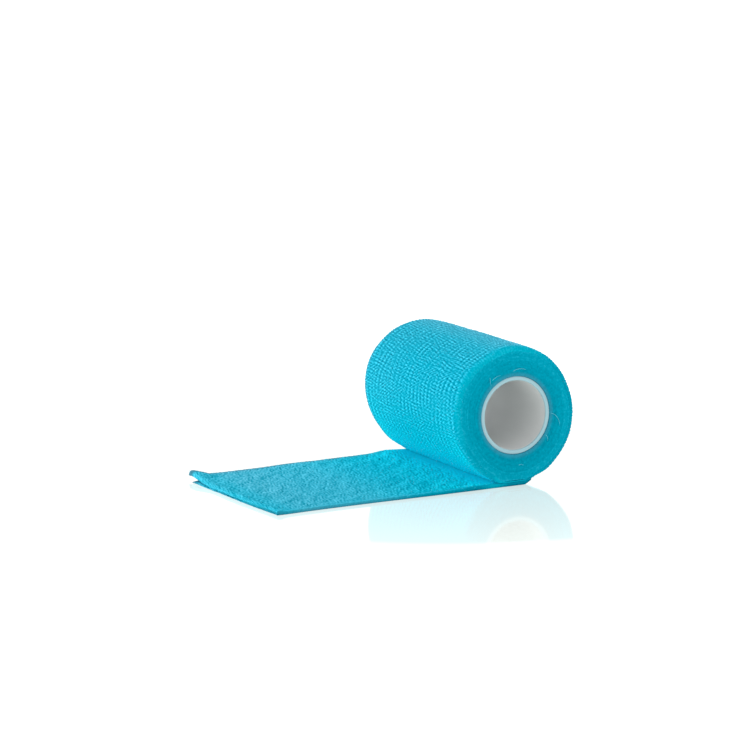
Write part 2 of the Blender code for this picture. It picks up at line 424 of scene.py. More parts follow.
for side in (-1, 1):
    wander = soft_lumps(TURN_SEED + side, (1, STRIP_STEPS), (1, WANDER_STEPS))[0]
    proud = np.interp(wound_length, np.arange(STRIP_STEPS), wander)
    rise = table_at(END_BULGE, share) * MM + TURN_UNEVENNESS * proud - TURN_GROOVE * groove
    rise = rise * (1 - at_outside) - OUTSIDE_SUNK * at_outside
    sunk = slumped(whole, side * STRIP_WIDTH / 2)
    ring = bore + share * (even_edge - bore) + share**5 * (flat_edge - even_edge)
    end_face = round_axis(ring - sunk * share**2, whole, side * (STRIP_WIDTH / 2 + rise))
    shoulder = round_axis(under_last - sunk, whole, side * (STRIP_WIDTH / 2 - SHOULDER))
    points.append(np.concatenate((end_face, shoulder), axis=1))
    # Tone with painted light and shade: darker towards the core, lighter on proud turns, darker in
    # the grooves.
    tone = CREPE_TONE + table_at(END_PAINTED_SHADING, share) + PROUD_LIGHT * proud - GROOVE_SHADE * groove
    crests.append(np.pad(tone, ((0, 0), (0, 1)), constant_values=SHOULDER_TONE))
points = np.concatenate(points)
numbers = np.arange(points.shape[0] * points.shape[1]).reshape(2, ROUND_COUNT, RING_COUNT + 1)
numbers = np.concatenate((numbers, numbers[:, :1]), axis=1)
faces = grid_faces(numbers[0]) + grid_faces(numbers[1])
for column in (0, -1):
    faces += grid_faces(np.stack((numbers[0, :, column], numbers[1, :, column])))
by_bore = np.append(BORE_GREY_SHADE * between(share, GREY_SHADE_ENDS, 0), 0.0)  # none on the shoulder
wound_turns = make_cloth(
    "wound_turns",
    points.reshape(-1, 3),
    faces,
    crest=np.concatenate(crests),
    chalk=np.tile(by_bore, 2 * ROUND_COUNT),
    taut=np.zeros(numbers[:, 1:].size),
)

# The crepe's colours: the dark and light ends stand for painted shade in the hollows and painted
# highlight on the crests.
CREPE_DARK = (0.0, 0.13, 0.20, 1.0)
CREPE_COLOUR = (0.0, 0.30, 0.425, 1.0)
CREPE_LIGHT = (0.045, 0.58, 0.79, 1.0)
# A pale grey, mixed in as painted sheen, and as grey painted shade along the far edges and by the
# core.
CREPE_SHEEN_AND_SHADE = (0.30, 0.46, 0.58, 1.0)
# Painted bounce light: bright cyan filling the shade on the roll's lower side, by the crease and in
# the lip's curl.
CREPE_BOUNCE_LIGHT = (0.0, 0.84, 1.0, 1.0)
CREPE_TONES = (0.30, 0.64, 1.0)  # where the dark, the plain and the light lie
FLUFF_TONE = 0.35  # how much the finest fluff changes the tone
FIBRE_DEPTH = 0.08 * MM

crepe = bpy.data.materials.new("turquoise crepe")
crepe.use_nodes = True
nodes, links = crepe.node_tree.nodes, crepe.node_tree.links
surface = nodes["Principled BSDF"]
surface.inputs["Roughness"].default_value = 0.85
surface.inputs["Specular IOR Level"].default_value = 0.0
surface.inputs["Sheen Weight"].default_value = 0.003
surface.inputs["Sheen Roughness"].default_value = 0.45
place = nodes.new("ShaderNodeTexCoord")
# Its tone attribute, which carries painted shade and light, picks the colour along the ramp.
standing = nodes.new("ShaderNodeAttribute")
standing.attribute_name = "crest"
fluff = nodes.new("ShaderNodeTexNoise")
fluff.inputs["Scale"].default_value = 1500
fluff.inputs["Detail"].default_value = 2
links.new(place.outputs["Object"], fluff.inputs["Vector"])
uneven = nodes.new("ShaderNodeMath")
uneven.operation = "MULTIPLY_ADD"
uneven.inputs[1].default_value = FLUFF_TONE
links.new(fluff.outputs["Fac"], uneven.inputs[0])
links.new(standing.outputs["Fac"], uneven.inputs[2])
tones = nodes.new("ShaderNodeValToRGB")
ramp = tones.color_ramp.elements
ramp[0].position, ramp[0].color = CREPE_TONES[0], CREPE_DARK
ramp[1].position, ramp[1].color = CREPE_TONES[2], CREPE_LIGHT
ramp.new(CREPE_TONES[1]).color = CREPE_COLOUR
links.new(uneven.outputs["Value"], tones.inputs["Fac"])
colour = tones.outputs["Color"]
for kind, pale, most in (("chalk", CREPE_SHEEN_AND_SHADE, 0.1), ("taut", CREPE_BOUNCE_LIGHT, 1.0)):
    where = nodes.new("ShaderNodeAttribute")
    where.attribute_name = kind
    amount = nodes.new("ShaderNodeMath")
    amount.operation = "MULTIPLY"
    amount.inputs[1].default_value = most
    links.new(where.outputs["Fac"], amount.inputs[0])
    blend = nodes.new("ShaderNodeMix")
    blend.data_type = "RGBA"
    blend.inputs["B"].default_value = pale
    links.new(amount.outputs["Value"], blend.inputs["Factor"])
    links.new(colour, blend.inputs["A"])
    colour = blend.outputs["Result"]
links.new(colour, surface.inputs["Base Color"])
fibres = nodes.new("ShaderNodeTexNoise")
fibres.inputs["Scale"].default_value = 5200
fibres.inputs["Detail"].default_value = 2
links.new(place.outputs["Object"], fibres.inputs["Vector"])
relief = nodes.new("ShaderNodeBump")
relief.inputs["Strength"].default_value = 0.5
relief.inputs["Distance"].default_value = FIBRE_DEPTH
links.new(fibres.outputs["Fac"], relief.inputs["Height"])
links.new(relief.outputs["Normal"], surface.inputs["Normal"])
wound_turns.data.materials.append(crepe)
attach(wound_turns, "root")
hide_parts("bandage")


# Last turn: the strip on the outside of the roll. Elastic yarns run along it every 1.6 mm and
# gather the soft fibre web between them into short crosswise crinkles, which fade at the rims.
TURN_STARTS = 11  # degrees, just where the strip leaves the table
TURN_ENDS = 383  # degrees, tucked in over its own start
STEP_ALONG = 0.34 * MM
ACROSS_COUNT = 193
TUCK = 0.5 * MM  # how far its edge goes on under the turn before
EDGE_STEPS = (1, 7)  # columns in that tuck, and round the rim
HIDDEN_INSET = 0.4 * MM
COARSE = 4  # the hidden side has one point for this many on the side that shows
LINE_STEPS = 6000  # along the turn, to measure its length
CREPE_GRAIN = (  # ridges a mm along, their spread, columns a mm across, their spread, strength
    (0.86, 0.26, 0.08, 0.16, 1.0),
    (0.05, 0.06, -0.335, 0.06, 0.6),
    (0.05, 0.06, 0.335, 0.06, 0.45),
    (0.75, 0.30, -0.42, 0.15, 0.75),
    (1.00, 0.30, 0.35, 0.16, 0.65),
    (0.40, 0.18, 0.12, 0.22, 0.25),
)
ROUND_LIGHTING = (  # degrees, then painted light by angle: how much lighter, how much painted bounce light, how much painted sheen, and how much lighter its near rim
    (20, 0.0, 0.0, 0.3, -0.05), (90, 0.0, 0.0, 0.6, -0.06), (125, 0.0, 0.0, 1.0, -0.05),
    (145, 0.0, 0.0, 1.6, 0.0), (165, -0.02, 0.0, 2.1, 0.08), (178, 0.0, 0.0, 1.3, 0.10),
    (190, 0.01, 0.0, 0.75, 0.10), (200, 0.0, 0.0, 0.3, 0.10), (210, -0.015, 0.0, 0.2, 0.09),
    (220, -0.015, 0.0, 0.1, 0.08), (240, -0.005, 0.0, 0.03, 0.07), (255, 0.0, 0.04, 0.06, 0.07),
    (270, -0.005, 0.12, 0.05, 0.07), (280, -0.015, 0.19, 0.0, 0.05), (290, -0.03, 0.29, 0.0, 0.03),
    (300, -0.05, 0.39, 0.0, 0.0), (310, -0.06, 0.48, 0.0, 0.0), (320, -0.06, 0.58, 0.0, 0.0),
    (332, -0.04, 0.68, 0.0, 0.0), (343, 0.0, 0.74, 0.0, 0.0), (355, 0.0, 0.5, 0.0, 0.0),
    (383, 0.0, 0.2, 0.0, 0.0),
)
CRINKLE_HEIGHT = 0.10 * MM
SLACK_HEIGHT = 0.05 * MM
SLACK_LENGTHS = (7 * MM, 12 * MM)  # along and across
LIES_FLAT = (5, 19)  # degrees off the table, where the crinkles start and are whole
DRAWN_TAUT = (295, 320)  # degrees, where the strip is drawn down towards the loose end
DRAWN_SHARE = 0.4  # of the crinkles, which that takes out
CREASE_RIM = (333, 342)  # degrees, where the painted bounce light reaches the rims too
CREPE_SEED, SLACK_SEED = 22, 23
FLECK_SKEW = 0.25
FLECK_TONE = 0.165
FLECK_SHARE = 0.35  # how much the flecks show in its painted sheen and its painted bounce light
LIT_RIM = (0.3, 1.3)  # how much of the near rim's painted light goes to its tone and its painted bounce light
FAR_RIM_SHADE = (0.12, 2.2)  # painted shade: how much darker the far rim is, and how much grey shade it gets
# Painted sheen, more of it towards the roll's far end.
FAR_SHEEN = 0.15


def crepe_grain(seed, shape, steps, bands):
    """Irregular ridges and puffs of the crepe, in bands of its spectrum, as heights around 0."""
    spectrum = np.fft.fft2(np.random.default_rng(seed).standard_normal(shape))
    along = np.fft.fftfreq(shape[0], steps[0])[:, None] * MM
    across = np.fft.fftfreq(shape[1], steps[1])[None] * MM
    along, across = np.abs(along), np.where(along < 0, -across, across)
    grain = np.zeros(shape)
    for ridges, ridge_spread, columns, column_spread, strength in bands:
        keep = ((along - ridges) / ridge_spread) ** 2 + ((across - columns) / column_spread) ** 2
        part = np.fft.ifft2(spectrum * np.exp(-keep)).real
        grain += strength * part / part.std()
    return grain / grain.std()


def flecked(grain, skew):
    """How light the crepe is: its grain's high places drawn out into flecks of painted highlight,
    the rest a darker net of painted shade.
    """
    light = np.exp(skew * grain)
    return (light - light.mean()) / light.std()


def zipped(first, second):
    """Three-sided faces between two lines of points, from the numbers along each."""
    faces, one, two = [], 0, 0
    while one < len(first) - 1 or two < len(second) - 1:
        first_next = (one + 1) * (len(second) - 1) <= (two + 1) * (len(first) - 1)
        if two == len(second) - 1 or (first_next and one < len(first) - 1):
            faces.append([int(first[one]), int(first[one + 1]), int(second[two])])
            one += 1
        else:
            faces.append([int(first[one]), int(second[two + 1]), int(second[two])])
            two += 1
    return faces


def closed_strip(name, shown, hidden, curl=None, **finish):
    """A strip whose shown side is a fine grid and its hidden one a coarse one, joined all round.

    A curl at its end gives how many hidden rows lie under it, and the shown rows where its edge
    turns in under the cloth and comes out again. The gap between those two stays open.
    """
    fine = np.arange(shown[..., 0].size).reshape(shown.shape[:2])
    coarse = fine.size + np.arange(hidden[..., 0].size).reshape(hidden.shape[:2])
    faces = grid_faces(fine) + grid_faces(coarse)
    edges = [(fine[row], coarse[row], None) for row in (0, -1)]
    edges += [(fine[:, column], coarse[:, column], curl) for column in (0, -1)]
    for edge, behind, curled_up in edges:
        count = len(behind) - 1 - (curled_up[0] if curled_up else 0)
        for index in range(count):
            near = edge[index * COARSE : (index + 1) * COARSE + 1]
            faces.append([*near.tolist(), int(behind[index + 1]), int(behind[index])])
        if curled_up:
            above, (_, turns_in, turns_out) = count * COARSE, curled_up
            faces.append([int(edge[above]), int(edge[turns_out]), int(behind[count])])
            faces += zipped(edge[above : turns_in + 1], edge[turns_in + 1 : turns_out + 1][::-1])
            faces += zipped(edge[turns_out:], behind[count:])
    points = np.concatenate((shown.reshape(-1, 3), hidden.reshape(-1, 3)))
    finish = {
        kind: np.append(values.ravel(), np.full(coarse.size, values.mean()))
        for kind, values in finish.items()
    }
    return make_cloth(name, points, faces, **finish)


# The line of the turn, in even steps of cloth, and which way is out from it.
closely = np.linspace(TURN_STARTS, TURN_ENDS, LINE_STEPS)
line = round_axis(turn_radius(closely), closely, 0.0)[:, ::2]
run = np.concatenate(([0], np.cumsum(np.linalg.norm(np.diff(line, axis=0), axis=1))))
row_count = int(run[-1] / STEP_ALONG) // COARSE * COARSE + 1
degrees = np.interp(np.linspace(0, run[-1], row_count), run, closely)[:, None]
line = round_axis(turn_radius(degrees[:, 0]), degrees[:, 0], 0.0)
ahead = np.gradient(line[:, ::2], axis=0)
ahead /= np.linalg.norm(ahead, axis=1)[:, None]
outwards = np.stack((ahead[:, 1], np.zeros(row_count), -ahead[:, 0]), -1)[:, None]
endways = np.array((0.0, 1.0, 0.0))

# Across it: the tuck, the rim and the flat side, from both edges to the middle.
shape = (row_count, ACROSS_COUNT)
column = np.arange(ACROSS_COUNT)[None]
side = np.where(column < ACROSS_COUNT / 2, -1.0, 1.0)
from_edge = np.minimum(column, ACROSS_COUNT - 1 - column)
rolled = rolled_over(degrees)
rim = EDGE_RADIUS + (RIM_RADIUS - EDGE_RADIUS) * rolled
round_rim = np.clip((from_edge - EDGE_STEPS[0]) / EDGE_STEPS[1], 0, 1) * math.pi / 2
inwards = (from_edge - sum(EDGE_STEPS)) / ((ACROSS_COUNT - 1) / 2 - sum(EDGE_STEPS))
tuck = TUCK * np.clip(1 - from_edge / EDGE_STEPS[0], 0, 1)
to_middle = (STRIP_WIDTH / 2 - rim) * np.clip(inwards, 0, 1)
inset = rim * (1 - np.cos(round_rim)) + to_middle + tuck / 2
place = side * (STRIP_WIDTH / 2 - inset)
pull = rim * (1 - np.sin(round_rim)) + tuck * rolled + slumped(degrees, place)

# The crinkles stand on it, and calm down at the rims, on the table and where it is drawn taut.
steps = (STEP_ALONG, STRIP_WIDTH / (ACROSS_COUNT - 2 * EDGE_STEPS[1]))
gathered = crepe_grain(CREPE_SEED, shape, steps, CREPE_GRAIN)
slack = soft_lumps(SLACK_SEED, shape, (SLACK_LENGTHS[0] / steps[0], SLACK_LENGTHS[1] / steps[1]))
fading = 0.10 + 0.90 * between(inset, -0.3 * MM, 2.7 * MM)
off_table = between(np.minimum(degrees, 360 - degrees), *LIES_FLAT)
left_slack = 1 - DRAWN_SHARE * between(degrees, *DRAWN_TAUT)
crinkled = fading * off_table * left_slack
height = off_table * (0.35 + 0.65 * fading) * left_slack
height = height * (CRINKLE_HEIGHT * gathered + SLACK_HEIGHT * slack)
facing = outwards * np.sin(round_rim)[..., None] + endways * (np.cos(round_rim) * side)[..., None]
shown = line[:, None] - outwards * pull[..., None] + facing * height[..., None]
shown[..., 1] += place
shown[..., 2] = np.maximum(shown[..., 2], 0.0)
roll_surface, roll_facing, roll_degrees = shown, facing, degrees[:, 0]
over_start = tucked_thickness(degrees - 360) + CLEARANCE
thickness = np.where(degrees > CREASE, over_start, start_thickness(degrees))
hidden = line[:, None] - outwards * (pull + thickness)[..., None]
hidden[..., 1] = side * np.maximum(STRIP_WIDTH / 2 - inset - HIDDEN_INSET, 0)
hidden[..., 2] = np.maximum(hidden[..., 2], CLEARANCE)

# Its finish: its tone with painted shade and light, its painted sheen and grey shade, and its
# painted bounce light.
flecks = flecked(gathered, FLECK_SKEW)
fleck_share = 1 + FLECK_SHARE * crinkled * flecks
side_tone = between(inset, -0.4 * MM, 3.0 * MM)
lit_rim = table_at(ROUND_LIGHTING, degrees, 4) * between(inset, 3.5 * MM, 0) * (side < 0)
far_rim_shade = between(inset, 4 * MM, 0) * (side > 0)
far_side = FAR_SHEEN * between(place, 0, 25 * MM) * off_table
# Tone: the crepe's flecked grain, with painted highlight on its crests and painted shade in its
# hollows.
crest = CREPE_TONE + crinkled * FLECK_TONE * flecks
# Painted light and shade by angle round the roll, on top of 0.07 more tone, both fading towards the
# rims.
crest = crest + (0.07 + table_at(ROUND_LIGHTING, degrees)) * side_tone
# Painted light on the near rim, painted shade on the far rim.
crest = crest + np.where(lit_rim > 0, LIT_RIM[0] * lit_rim, lit_rim) - FAR_RIM_SHADE[0] * far_rim_shade
from_rim = np.maximum(between(inset, -0.3 * MM, 4.9 * MM), 0.2 * between(degrees, *CREASE_RIM))
# Painted bounce light on the roll's lower side, towards the crease.
taut = table_at(ROUND_LIGHTING, degrees, 2) * from_rim
taut = np.maximum(taut * fleck_share, 0) + LIT_RIM[1] * lit_rim
# Painted sheen by angle round the roll and towards its far end, away from the rims.
chalk = (table_at(ROUND_LIGHTING, degrees, 3) + far_side) * between(inset, 0.5 * MM, 5.5 * MM)
chalk = chalk * np.maximum(fleck_share, 0) + FAR_RIM_SHADE[1] * far_rim_shade
hidden = hidden[::COARSE, ::COARSE]
outer_turn = closed_strip("outer_turn", shown, hidden, crest=crest, chalk=chalk, taut=taut)
outer_turn.data.materials.append(crepe)
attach(outer_turn, "root")
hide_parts("bandage")


# Loose end: the start of the strip, run out flat on the table and cut a little askew. It has
# relaxed, so it is thick and its crinkles even; the cut end has curled over into a soft lip.
LOOSE_END_LENGTH = 94.8 * MM
CUT_SKEW = 3.0 * MM  # how much longer it is at its far edge
LOOSE_END = (  # distance from the axis, near edge in, far edge in, far edge up, all in mm
    (7, 0, 0, 0), (12, 0, 1.0, 0.5), (17, 0, 2.0, 0.9), (23, 0, 2.8, 0.5), (29, 0, 3.0, 0.4),
    (40, 0.2, 3.4, 0.45), (55, 0.4, 4.0, 0.5), (70, 0.4, 4.7, 0.5), (83, 0.1, 5.4, 0.5),
    (88, -0.2, 4.6, 0.4), (90, -0.3, 4.2, 0.5), (92, -0.3, 4.0, 1.2), (94, -0.2, 3.6, 1.7),
)
LIFTED_SHARE = 0.3  # of the width, in from the far edge
LIES_DOWN = 60 * MM  # from the axis, past which its underside isn't lifted
ENDS_UNDER_ROLL = 14  # degrees, inside the start of the last turn
UNDER_COUNT = 14  # rows of it
LIP_STARTS = 5.0 * MM  # before the cut
LIP = (  # round the lip to the table, in mm: beyond the cut and above the table at the near edge,
    # the same at the far edge, share of the corner's lift, how far the far edge is drawn in
    (-5.0, 1.30, -5.0, 1.30, 0.9, 0.0),
    (-3.6, 1.42, -3.8, 1.40, 1.0, 0.0),
    (-2.3, 1.75, -2.6, 1.65, 1.0, 0.0),
    (-1.2, 1.90, -1.7, 1.80, 1.0, 0.0),
    (-0.4, 1.65, -1.0, 1.55, 1.0, 0.2),
    (-0.05, 1.25, -0.55, 1.05, 1.0, 0.4),
    (0.00, 1.00, -0.50, 0.45, 1.0, 0.6),
    (-0.10, 0.85, -0.75, 0.20, 1.0, 0.8),
    (-0.12, 0.75, -3.2, 0.05, 0.9, 0.9),
    (-0.10, 0.65, -6.2, 0.30, 0.35, 3.0),
    (-0.06, 0.52, -4.0, 0.62, 0.05, 5.0),
    (0.00, 0.40, -0.2, 0.48, 0.0, 5.5),
    (0.02, 0.28, 0.25, 0.25, 0.0, 5.5),
    (-0.03, 0.12, 0.10, 0.08, 0.0, 5.5),
    (-0.30, 0.00, -0.40, 0.00, 0.0, 5.5),
)
LIP_STEPS = 48
LIP_SKEW = (1.5, 1.3)  # how far the near edge's form reaches across, and how much more in the notch
NOTCH = (6.5, 8.0, 10.0, 11.5)  # rows of the lip between which the far corner opens
CURL_TURNS = (20, 31)  # steps of the lip where the far edge turns in and comes out again
CURL_TIP = 15  # step of the lip where the curled corner is darkest
DRAWN_IN = (0.6, 1.0)  # share of the width where the lip's far edge draws in
UNDERSIDE_ENDS = ((-3.8, 3.0), (-2.0, 4.8), (-0.45, 5.5))  # beyond the cut, far edge in, in mm
LOOSE_ACROSS = 193
EDGE_COLUMNS = 6
LOOSE_STEP = 0.32 * MM
LOOSE_GRAIN = (  # as for the last turn
    (0.45, 0.55, 0.15, 0.50, 1.0),
    (0.85, 0.30, 0.38, 0.22, 0.7),
    (0.08, 0.12, 0.10, 0.10, 0.3),
)
LOOSE_SEED, LOOSE_SLACK_SEED = 32, 33
LOOSE_HEIGHT = 0.04 * MM
LOOSE_SLACK = 0.05 * MM
LOOSE_SLACK_LENGTHS = (9 * MM, 12 * MM)  # along and across
EDGE_UNEVENNESS = (0.1 * MM, 0.26 * MM)  # near edge, far edge
FRAYED_UNEVENNESS = 0.4 * MM
FRAYED = (0.93, 0.98)  # share of the width, where the corner starts to fray and is frayed
LOOSE_LIGHTING = (  # distance from the axis in mm, then how much painted bounce light, how much painted sheen, and how much lighter, darker by the roll as painted shade
    (3, 0.0, 0.0, 0.0), (6, 0.45, 0.0, 0.0), (8, 0.66, 0.0, 0.0), (11, 0.66, 0.0, 0.0),
    (14, 0.58, 0.0, -0.02), (17, 0.48, 0.0, -0.04), (20, 0.40, 0.0, -0.05), (25, 0.32, 0.0, -0.055),
    (30, 0.20, 0.0, -0.05), (35, 0.14, 0.0, -0.03), (40, 0.10, 0.12, -0.01), (48, 0.08, 0.5, 0.0),
    (56, 0.05, 0.95, 0.0), (66, 0.02, 0.95, 0.0), (78, 0.01, 1.3, 0.0), (86, 0.01, 1.2, 0.0),
    (90, 0.02, 0.65, 0.0), (93, 0.03, 0.55, 0.0),
)

flat_count = int((LOOSE_END_LENGTH - LIP_STARTS) / LOOSE_STEP)
row_count = (flat_count + UNDER_COUNT + LIP_STEPS) // COARSE * COARSE + 1
lip_from = row_count - LIP_STEPS  # the first row of the lip
shape = (row_count, LOOSE_ACROSS)
steps = (LOOSE_STEP, STRIP_WIDTH / LOOSE_ACROSS)
crowded = (1 - np.cos(np.linspace(0, math.pi / 2, EDGE_COLUMNS + 1))) * EDGE_RADIUS / STRIP_WIDTH
middle = np.linspace(crowded[-1], 1 - crowded[-1], LOOSE_ACROSS - 2 * EDGE_COLUMNS)
share_across = np.concatenate((crowded[:-1], middle, 1 - crowded[-2::-1]))
share = share_across[None]
cut = LOOSE_END_LENGTH + CUT_SKEW * (1 - (1 - share) ** 2)

# Along it: in under the roll, flat on the table, and round the lip at the cut.
under = np.linspace(ENDS_UNDER_ROLL, 0, UNDER_COUNT + 1)[:-1, None]
under_line = round_axis(turn_radius(under), under, 0.0)
flat_out = np.linspace(0, 1, lip_from - UNDER_COUNT)[:, None] * (cut - LIP_STARTS)
lip_row = np.linspace(0, len(LIP) - 1, LIP_STEPS + 1)[1:, None]
lip_table = [(number, *row) for number, row in enumerate(LIP)]
near_out, near_height, far_out, far_height, lifts, drawn = (
    table_at(lip_table, lip_row, number) for number in range(1, 7)
)
in_notch = between(lip_row, *NOTCH[:2]) * between(lip_row, *NOTCH[:1:-1])
curled = share ** (LIP_SKEW[0] + LIP_SKEW[1] * in_notch)
lip_out = cut + (near_out + (far_out - near_out) * curled) * MM
lip_height = (near_height + (far_height - near_height) * curled) * MM
whole_width = np.ones((1, LOOSE_ACROSS))
no_lip = np.zeros((lip_from, 1))
out = np.concatenate((-under_line[..., 0] * whole_width, flat_out, lip_out))
height = np.concatenate((no_lip + LOOSE_THICKNESS * whole_width, lip_height))
base = np.zeros(shape)
base[:UNDER_COUNT] = under_line[..., 2]
lifts = np.concatenate((no_lip + 1, lifts))
drawn = np.concatenate((no_lip, drawn)) * MM * between(share, *DRAWN_IN)
near_in, far_in, far_up = (table_at(LOOSE_END, out / MM, number) * MM for number in (1, 2, 3))
across = (share - 0.5) * STRIP_WIDTH + (1 - share) * near_in - share * (far_in + drawn)
lifted = np.maximum(far_up, 0) * between(share, 1 - LIFTED_SHARE, 1)

# Its rounded edges and crinkles, which the pull of the roll smooths out near it.
edge_distance = np.minimum(share, 1 - share) * STRIP_WIDTH
edge_round = np.sqrt(1 - (1 - np.clip(edge_distance / EDGE_RADIUS, 0, 1)) ** 2)
gathered = crepe_grain(LOOSE_SEED, shape, steps, LOOSE_GRAIN)
slack_lengths = (LOOSE_SLACK_LENGTHS[0] / steps[0], LOOSE_SLACK_LENGTHS[1] / steps[1])
slack = soft_lumps(LOOSE_SLACK_SEED, shape, slack_lengths)
off_near_edge = between(share * STRIP_WIDTH, 0.3 * MM, 2.8 * MM)
crinkled = between(out, 7 * MM, 18 * MM) * (0.25 + 0.75 * off_near_edge)
frayed = between(share, *FRAYED) * between(out, cut - 10 * MM, cut - 6 * MM)
standing = crinkled * (LOOSE_HEIGHT * gathered + LOOSE_SLACK * slack)
section = np.stack((-out, height), -1)
along_section = np.gradient(section, axis=0)
along_section /= np.maximum(np.linalg.norm(along_section, axis=-1), 1e-9)[..., None]
uneven = np.where(share > 0.5, EDGE_UNEVENNESS[1], EDGE_UNEVENNESS[0])
uneven = (uneven + FRAYED_UNEVENNESS * frayed) * gathered * crinkled * (1 - edge_round)
top = (height - along_section[..., 0] * standing) * edge_round
shown = np.stack(
    (along_section[..., 1] * standing - out, across + uneven, base + lifted * lifts + top), -1
)
shown[..., 2] = np.maximum(shown[..., 2], 0.0)

# The underside, with a few rows of its own below the lip.
bottom = base + np.where(out < LIES_DOWN, lifted, 0.0)
hidden = np.stack((-out, across, bottom), -1)[:lip_from:COARSE]
goes_on = len(hidden) * COARSE  # the row that those few start from
last = np.array(UNDERSIDE_ENDS) * MM
last_out = cut + last[:, :1]
last_in = (1 - share) * (table_at(LOOSE_END, last_out / MM) * MM - near_in[goes_on])
last_across = across[goes_on] + last_in - share * last[:, 1:] * between(share, *DRAWN_IN)
last_rows = np.stack((-last_out, last_across, np.zeros(last_out.shape)), -1)
hidden = np.concatenate((hidden, last_rows))[:, ::COARSE]

# Its finish: painted bounce light by the roll, painted sheen further out, painted shade along its
# far edge and under the lip.
run_out = between(out, 12 * MM, 26 * MM)
far_off = (1 - share) * STRIP_WIDTH
far_edge_shade, far_shade_line = between(far_off, 5 * MM, 0), between(far_off, 2.4 * MM, 0)
from_tip = np.abs(np.arange(row_count)[:, None] - lip_from - CURL_TIP)
dark_tip = between(share, 0.945, 0.975) * between(from_tip, 9, 0)
lit_edge = np.where(share < 0.5, 0.15, 0.0) * np.exp(-(((edge_distance / MM - 0.5) / 0.3) ** 2))
# Tone: lighter towards the far edge, the crinkled grain, and painted shade close to the roll.
crest = 0.51 + 0.07 * share + crinkled * 0.10 * gathered + table_at(LOOSE_LIGHTING, out / MM, 3)
# Painted shade down the rounded edges, and painted highlight along the top of the near edge.
crest = crest * (0.35 + 0.65 * edge_round) + run_out * lit_edge
# Darker at the curled tip, and painted shade along the near edge close to the roll.
crest = crest - 0.42 * dark_tip - 0.1 * (1 - run_out) * (1 - off_near_edge)
crest = crest - 0.45 * frayed * np.maximum(gathered + 0.4, 0)
# Painted shade: a dark line along the far edge.
crest = crest - (0.10 * far_edge_shade + 0.4 * far_shade_line) * run_out
lip_shade = np.maximum(1.4 * between(lip_row, 5.6, 7) * (1 - share), between(lip_row, 10, 12))
crest[lip_from:] -= 0.2 * lip_shade
# Painted sheen, stronger further out from the roll, and grey painted shade along the far edge.
chalk = table_at(LOOSE_LIGHTING, out / MM, 2) * (0.82 + 0.36 * share)
chalk = chalk * np.maximum(1 + 0.5 * crinkled * gathered, 0)
chalk = chalk + (1.2 * between(far_off, 6 * MM, 0) + 0.3 * far_shade_line) * run_out
# Painted bounce light by the roll, filling the shade by the crease.
in_crease = off_near_edge + 0.25 * (1 - off_near_edge) * between(out, 16 * MM, 10 * MM)
in_crease = in_crease * (1 + 0.3 * between(share, 0.8, 0.95) * between(out, 13 * MM, 8 * MM))
taut = table_at(LOOSE_LIGHTING, out / MM) * in_crease
taut = taut * np.maximum(1 + FLECK_SHARE * crinkled * gathered, 0)
# Painted light in the curl of the lip, filling its shade.
in_curl = between(np.abs(lip_row - 8.5), 2.5, 0) * between(share, 0, 0.6)
taut[lip_from:] = np.maximum(taut[lip_from:], 0.8 * in_curl)
curl = (len(UNDERSIDE_ENDS), lip_from + CURL_TURNS[0], lip_from + CURL_TURNS[1])
loose_end = closed_strip("loose_end", shown, hidden, curl, crest=crest, chalk=chalk, taut=taut)
loose_end.data.materials.append(crepe)
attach(loose_end, "root")
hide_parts("bandage")


# Stray fibres: single filaments of the web that the slitting knife pulled loose, on the roll's
# end and along the curled corner, and the short nap of hairs that stands on the cloth all over.
# Each is still held by the cloth at one end or both.
FIBRE_THICKNESS = 0.16 * MM
FIBRE_SIDES = 5
FIBRE_STEPS = 8
END_FIBRES = (  # three points on the near end face, as X and height in mm
    ((-10.1, 40.6), (-10.3, 39.2), (-9.8, 37.4)),
    ((14.4, 25.0), (16.7, 23.4), (18.1, 19.8)),
    ((0.8, 7.3), (1.9, 7.6), (3.0, 6.9)),
    ((-1.2, 41.6), (1.8, 42.5), (5.0, 41.5)),
    ((-9.6, 38.9), (-7.9, 40.3), (-5.5, 40.8)),
    ((12.1, 17.3), (12.7, 16.2), (12.8, 14.8)),
)
CORNER_FIBRES = 16
CORNER_ROWS = (-22, 16)  # of the loose end, counted from the first of its lip
FIBRE_SEED = 41
FIBRE_LEANS = ((-0.7, 0.3), (0.1, 0.6), (0.5, 1.0))  # least and most along X, Y and Z
FIBRE_HOLD = 0.1 * MM  # how far a fibre goes into the cloth
ROLL_HAIRS = 2800  # of the short nap, on the roll's side
ROLL_HAIRS_SHOW = (16, 333)  # degrees
END_HAIRS = 900  # and on the loose end
END_HAIR_ROWS = 20  # in from under the roll, and out on the lip
HAIR_SEED = 42
NAP_SIDES = 3
NAP_STEPS = 3
NAP_LENGTH = 0.8 * MM
NAP_THICKNESS = 0.09 * MM
FILAMENT_COLOUR = (0.02, 0.40, 0.52, 1.0)
FILAMENT_LIGHT = (0.24, 0.73, 0.85, 1.0)

